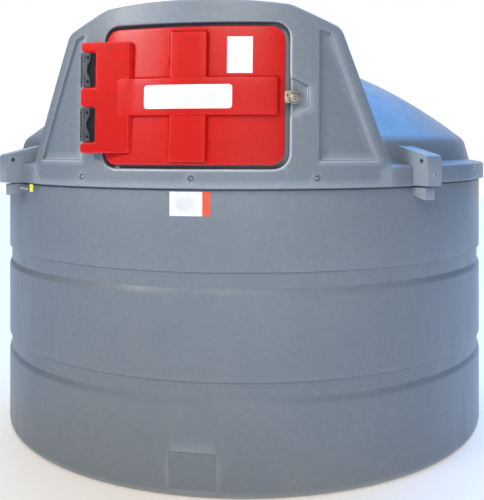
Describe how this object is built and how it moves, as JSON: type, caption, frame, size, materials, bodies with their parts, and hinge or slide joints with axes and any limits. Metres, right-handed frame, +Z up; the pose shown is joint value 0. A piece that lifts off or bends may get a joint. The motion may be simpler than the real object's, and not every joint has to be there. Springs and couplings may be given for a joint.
{
  "type": "vertical storage tank",
  "caption": "Round double-walled plastic liquid storage tank with grooved wall, domed lid, lifting lugs and a hooded front cabinet behind a hinged red door.",
  "frame": {"origin": "on the ground, at the tank's vertical axis, in the middle of its flat base", "axes": "+Z up along the tank's axis, -Y towards the front, where the cabinet and its door are, +X to the right of someone who faces the door"},
  "size_m": [2.4596, 2.4767, 1.9098],
  "materials": {
    "tank_plastic": "satin grey moulded polyethylene",
    "door_plastic": "red moulded polyethylene with a soft gloss",
    "hinge_plastic": "black satin",
    "hasp_metal": "brushed"
  },
  "bodies": {
    "tank": {"bund_wall_front": "tank_plastic", "bund_wall_front_right": "tank_plastic", "bund_wall_right": "tank_plastic", "bund_wall_back_right": "tank_plastic", "bund_wall_back": "tank_plastic", "bund_wall_back_left": "tank_plastic", "bund_wall_left": "tank_plastic", "bund_wall_front_left": "tank_plastic", "bund_floor": "tank_plastic", "lid_front": "tank_plastic", "lid_front_right": "tank_plastic", "lid_right": "tank_plastic", "lid_back_right": "tank_plastic", "lid_back": "tank_plastic", "lid_back_left": "tank_plastic", "lid_left": "tank_plastic", "lid_front_left": "tank_plastic", "lid_crown": "tank_plastic", "hatch_collar": "tank_plastic", "hatch_lid": "tank_plastic", "hood_face_left": "tank_plastic", "hood_face_right": "tank_plastic", "hood_face_top": "tank_plastic", "hood_side_left": "tank_plastic", "hood_side_right": "tank_plastic", "hood_shoulder_left": "tank_plastic", "hood_shoulder_right": "tank_plastic", "hood_roof": "tank_plastic", "cabinet_floor": "tank_plastic", "cabinet_back": "tank_plastic", "cabinet_side_left": "tank_plastic", "cabinet_side_right": "tank_plastic", "hinge_upper_base": "hinge_plastic", "hinge_lower_base": "hinge_plastic"},
    "door": {"door_panel": "door_plastic", "hinge_upper_leaf": "hinge_plastic", "hinge_lower_leaf": "hinge_plastic", "hasp_strap": "hasp_metal", "hasp_lock": "hasp_metal"}
  },
  "joints": [
    {"name": "door_hinge", "type": "hinge", "parent": "tank", "child": "door", "pos_m": [-0.435, -1.2035, 1.533], "axis": [0, -0.035, -0.9994], "range_deg": [0, 110]}
  ]
}
